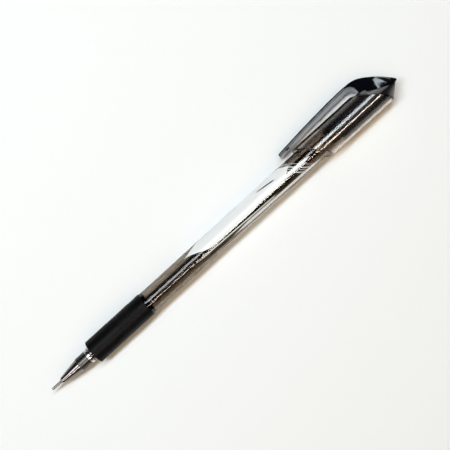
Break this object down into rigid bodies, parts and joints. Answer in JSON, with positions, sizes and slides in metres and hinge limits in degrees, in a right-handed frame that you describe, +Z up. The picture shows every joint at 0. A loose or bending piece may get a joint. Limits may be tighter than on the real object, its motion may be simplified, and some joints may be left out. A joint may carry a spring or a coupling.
{
  "type": "stick ballpoint pen",
  "caption": "Stick ballpoint pen with a needle point, metal nose cone, ribbed rubber grip, clear barrel, and a clear cap with a clip posted on its tail.",
  "frame": {"origin": "on the pen's axis at the front of the writing ball, where the ball touches the paper", "axes": "+X along the pen from the ball to the crown, +Z up from the table it lies on, +Y towards the side the clip lies on"},
  "size_m": [0.1518, 0.0141, 0.0102],
  "materials": {
    "ball": "polished carbide, wet with ink",
    "needle_steel": "drawn stainless tube",
    "nose_chrome": "polished plating",
    "holder_plastic": "natural moulded plastic",
    "refill_tube": "translucent extruded tube",
    "ink": "black ink paste",
    "follower_grease": "clear amber grease",
    "smoke_clear": "smoke-tinted clear plastic, pale swirl print",
    "grip_rubber": "matt soft rubber",
    "plug_plastic": "glossy black plastic",
    "cap_clear": "smoke-tinted clear plastic",
    "crown_plastic": "high-gloss black plastic"
  },
  "bodies": {
    "pen": {"barrel": "smoke_clear", "grip_sleeve": "grip_rubber", "tail_plug": "plug_plastic"},
    "refill": {"needle_tube": "needle_steel", "tip_holder": "holder_plastic", "ink_tube": "refill_tube", "ink_column": "ink", "ink_follower": "follower_grease"},
    "nose": {"nose_cone": "nose_chrome"},
    "ball": {"writing_ball": "ball"},
    "cap": {"cap_shell": "cap_clear", "cap_crown": "crown_plastic"},
    "clip": {"pocket_clip": "crown_plastic"}
  },
  "joints": [
    {"name": "cap_slide", "type": "slide", "parent": "pen", "child": "cap", "axis": [1, 0, 0], "range_m": [0, 0.045]},
    {"name": "clip_flex", "type": "hinge", "parent": "cap", "child": "clip", "pos_m": [0.1365, 0.00831, -0.0022], "axis": [0, -0.2558, -0.9667], "range_deg": [0, 5], "stiffness_Nm_per_rad": 0.4},
    {"name": "refill_draw", "type": "slide", "parent": "pen", "child": "refill", "axis": [-1, 0, 0], "range_m": [0, 0.115]},
    {"name": "nose_turn", "type": "hinge", "parent": "refill", "child": "nose", "pos_m": [0.0136, 0, 0], "axis": [-1, 0, 0], "range_deg": [0, 1800]},
    {"name": "ball_roll", "type": "hinge", "parent": "refill", "child": "ball", "pos_m": [0.00035, 0, 0], "axis": [0, 1, 0], "continuous": true}
  ]
}
